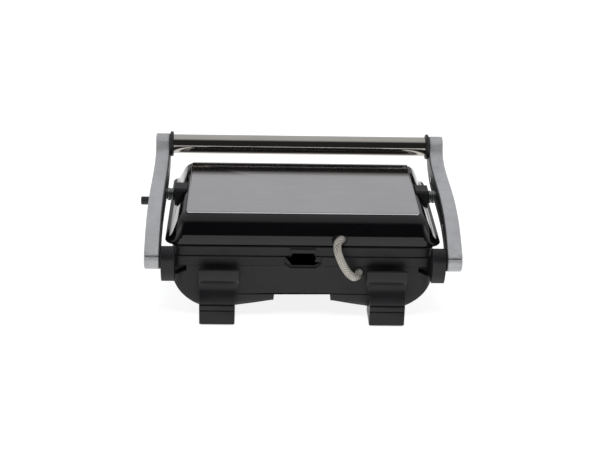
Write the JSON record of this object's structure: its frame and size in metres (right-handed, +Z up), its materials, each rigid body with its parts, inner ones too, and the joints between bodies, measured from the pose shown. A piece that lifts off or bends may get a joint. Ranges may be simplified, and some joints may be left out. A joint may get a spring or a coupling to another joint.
{
  "type": "panini press",
  "caption": "Contact grill with a black housing, a grey lid panel, silver cast arms and a steel tube handle.",
  "frame": {"origin": "on the table under the middle of the grill, on its mirror plane", "axes": "+Z up, -Y towards the handle side, +Y towards the hinge side, +X to the left of someone looking at the hinge side"},
  "size_m": [0.3396, 0.2185, 0.1445],
  "materials": {
    "housing_black": "satin",
    "cover_black": "gloss",
    "panel_grey": "satin",
    "cast_silver": "satin",
    "liner_black": "satin",
    "tube_steel": "brushed",
    "pivot_metal": "satin",
    "steel": "satin",
    "plate_coating": "matte",
    "heater_sheath": "matte",
    "shield_steel": "satin",
    "ceramic": "matte",
    "fuse_sleeve": "matte",
    "rubber": "matte",
    "hose_braid": "satin",
    "board_green": "satin",
    "lens_red": "gloss",
    "lens_green": "gloss"
  },
  "bodies": {
    "base": {"base_housing": "housing_black", "base_rim": "housing_black", "rear_leg_left": "housing_black", "rear_leg_right": "housing_black", "foot_pads": "rubber", "front_feet": "housing_black", "hinge_tower_left": "housing_black", "hinge_tower_right": "housing_black", "hinge_pin_left": "steel", "hinge_pin_right": "steel", "lower_plate": "plate_coating", "grease_spout": "plate_coating", "lower_heater": "heater_sheath", "lower_heat_shield": "shield_steel", "lower_thermostat": "ceramic", "thermal_fuse": "fuse_sleeve", "terminal_block": "ceramic", "base_hose_grommet": "rubber", "mains_cord_gland": "rubber", "base_screws": "steel", "power_hose": "hose_braid"},
    "handle_frame": {"arm_left": "cast_silver", "arm_right": "cast_silver", "arm_liner_left": "liner_black", "arm_liner_right": "liner_black", "handle_tube": "tube_steel", "handle_collars": "liner_black", "handle_screws": "steel", "pivot_pins": "steel", "pivot_spacers": "pivot_metal", "arm_cover_screws": "steel", "lock_spring": "steel"},
    "lid": {"lid_frame": "housing_black", "lid_cover": "cover_black", "lid_top_panel": "panel_grey", "upper_plate": "plate_coating", "upper_heater": "heater_sheath", "upper_heat_shield": "shield_steel", "upper_thermostat": "ceramic", "lid_lamp_board": "board_green", "power_lamp": "lens_red", "ready_lamp": "lens_green", "pivot_boss_left": "housing_black", "pivot_boss_right": "housing_black", "lid_hose_grommet": "rubber", "lid_screws": "steel"},
    "button": {"lock_button": "liner_black"}
  },
  "joints": [
    {"name": "arm_hinge", "type": "hinge", "parent": "base", "child": "handle_frame", "pos_m": [0, 0.096, 0.079], "axis": [-1, 0, 0], "range_deg": [0, 175], "deforming": ["power_hose"]},
    {"name": "lid_pivot", "type": "hinge", "parent": "handle_frame", "child": "lid", "pos_m": [0, -0.004, 0.107], "axis": [-1, 0, 0], "range_deg": [0, 5]},
    {"name": "lock_press", "type": "slide", "parent": "handle_frame", "child": "button", "axis": [-1, 0, 0], "range_m": [0, 0.004], "stiffness_N_per_m": 600, "deforming": ["lock_spring"]}
  ],
  "couplings": [
    {"joint": "lid_pivot", "follows": "arm_hinge", "ratio": 0.028571}
  ]
}
